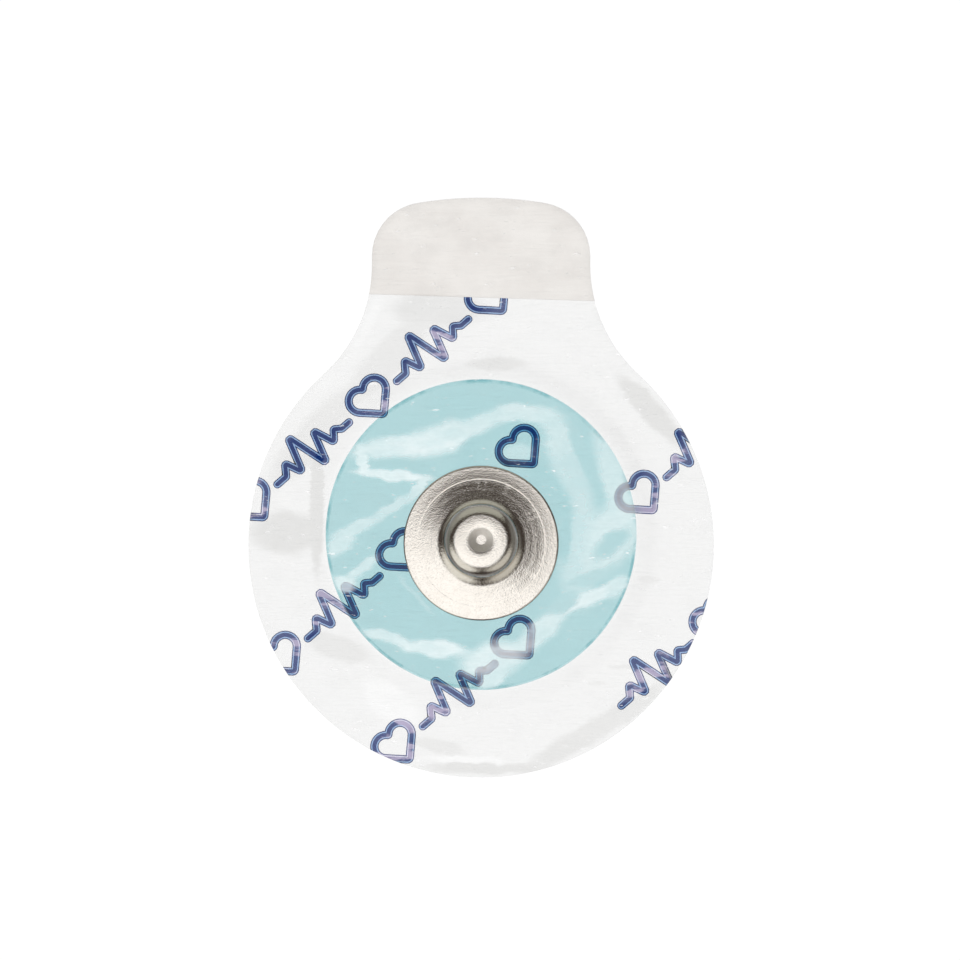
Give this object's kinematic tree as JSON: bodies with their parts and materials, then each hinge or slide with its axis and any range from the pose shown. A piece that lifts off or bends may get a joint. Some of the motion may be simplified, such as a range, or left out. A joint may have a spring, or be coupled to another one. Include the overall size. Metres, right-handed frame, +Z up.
{
  "type": "ecg electrode",
  "caption": "Teardrop ECG snap electrode: film tape over a teal hydrogel disc, metal snap stud, lift tab and clear release liner.",
  "frame": {"origin": "on the snap stud's axis, at the release liner's underside, where the electrode rests", "axes": "+Z up along the snap stud, away from the skin side; +Y from the round pad to the lift tab; +X to the right, seen from above"},
  "size_m": [0.024, 0.03, 0.0036],
  "materials": {
    "tape_film": "translucent film, satin",
    "strip_film": "warm-white film, matt",
    "hydrogel": "teal hydrogel, moist",
    "liner_film": "clear film with dark-blue print",
    "sensor_coating": "silver/silver-chloride coating, matt grey",
    "nickel_plate": "nickel plate, bright"
  },
  "bodies": {
    "root": {"carrier_tape": "tape_film", "lift_tab": "strip_film", "gel_pad": "hydrogel", "release_liner": "liner_film", "sensor_eyelet": "sensor_coating", "snap_stud": "nickel_plate"}
  },
  "joints": []
}
